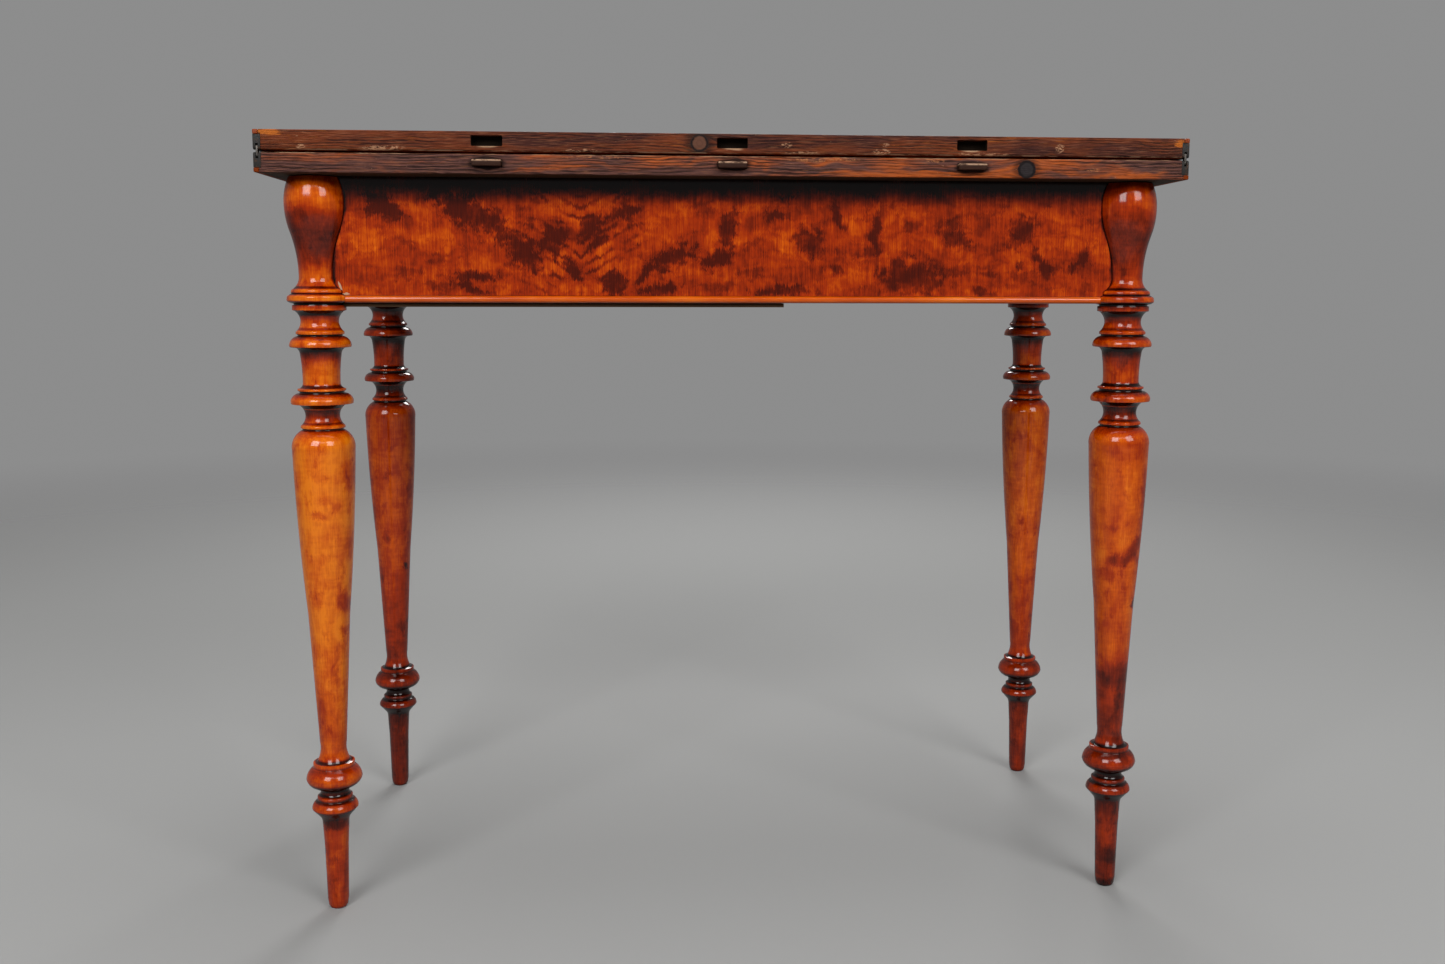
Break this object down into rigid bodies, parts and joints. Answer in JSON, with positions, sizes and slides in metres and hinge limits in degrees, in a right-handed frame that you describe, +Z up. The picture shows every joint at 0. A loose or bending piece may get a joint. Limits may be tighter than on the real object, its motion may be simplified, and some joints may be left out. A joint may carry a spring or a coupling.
{
  "type": "fold-over games table",
  "caption": "Wooden games table with a swivelling fold-over top on link hinges, a card well in the frame and turned legs.",
  "frame": {"origin": "on the floor, under the middle of the closed table's outline with its tongues", "axes": "+X along the hinge edge, +Y from the hinge edge to the far edge of the leaves, +Z up"},
  "size_m": [0.88, 0.447, 0.764],
  "materials": {
    "birch": "polished golden brown birch",
    "flame_birch": "polished flame-figured birch veneer",
    "stained_pine": "dark stained pine, satin",
    "raw_pine": "bare planed pine",
    "blackened_iron": "blackened wrought iron",
    "bright_steel": "worn bright steel"
  },
  "bodies": {
    "frame": {"back_apron_bead": "birch", "back_apron_facing": "flame_birch", "back_left_corner_block": "raw_pine", "back_left_leg": "birch", "back_rail": "raw_pine", "back_right_corner_block": "raw_pine", "back_right_leg": "birch", "card_well_bottom": "raw_pine", "card_well_divider": "raw_pine", "front_apron_bead": "birch", "front_apron_facing": "flame_birch", "front_left_corner_block": "raw_pine", "front_left_leg": "birch", "front_rail": "raw_pine", "front_right_corner_block": "raw_pine", "front_right_leg": "birch", "left_apron_bead": "birch", "left_apron_facing": "flame_birch", "left_rail": "raw_pine", "pivot_plank": "raw_pine", "right_apron_bead": "birch", "right_apron_facing": "flame_birch", "right_rail": "raw_pine"},
    "lower_leaf": {"left_tongue": "birch", "lower_leaf_core": "stained_pine", "lower_leaf_left_hinge_pin": "bright_steel", "lower_leaf_left_hinge_plate": "blackened_iron", "lower_leaf_left_lipping": "birch", "lower_leaf_long_lipping": "birch", "lower_leaf_right_hinge_pin": "bright_steel", "lower_leaf_right_hinge_plate": "blackened_iron", "lower_leaf_right_lipping": "birch", "middle_tongue": "birch", "right_tongue": "birch", "swivel_nut": "blackened_iron", "swivel_pivot_bolt": "blackened_iron", "swivel_stop_pin": "birch", "swivel_washer": "blackened_iron"},
    "left_link": {"left_hinge_link": "bright_steel"},
    "right_link": {"right_hinge_link": "bright_steel"},
    "upper_leaf": {"upper_leaf_core": "stained_pine", "upper_leaf_left_hinge_pin": "bright_steel", "upper_leaf_left_hinge_plate": "blackened_iron", "upper_leaf_left_lipping": "birch", "upper_leaf_long_lipping": "birch", "upper_leaf_right_hinge_pin": "bright_steel", "upper_leaf_right_hinge_plate": "blackened_iron", "upper_leaf_right_lipping": "birch"}
  },
  "joints": [
    {"name": "top_swivel", "type": "hinge", "parent": "frame", "child": "lower_leaf", "pos_m": [0.11, -0.1065, 0.725], "axis": [0, 0, -1], "range_deg": [0, 90]},
    {"name": "left_link_fold", "type": "hinge", "parent": "lower_leaf", "child": "left_link", "pos_m": [-0.4365, -0.21305, 0.74075], "axis": [1, 0, 0], "range_deg": [0, 90]},
    {"name": "leaf_unfold", "type": "hinge", "parent": "left_link", "child": "upper_leaf", "pos_m": [-0.4365, -0.21305, 0.74825], "axis": [1, 0, 0], "range_deg": [0, 90]},
    {"name": "right_link_fold", "type": "hinge", "parent": "lower_leaf", "child": "right_link", "pos_m": [0.4365, -0.21305, 0.74075], "axis": [1, 0, 0], "range_deg": [0, 90]}
  ],
  "couplings": [
    {"joint": "left_link_fold", "follows": "leaf_unfold", "ratio": 1},
    {"joint": "right_link_fold", "follows": "leaf_unfold", "ratio": 1}
  ]
}
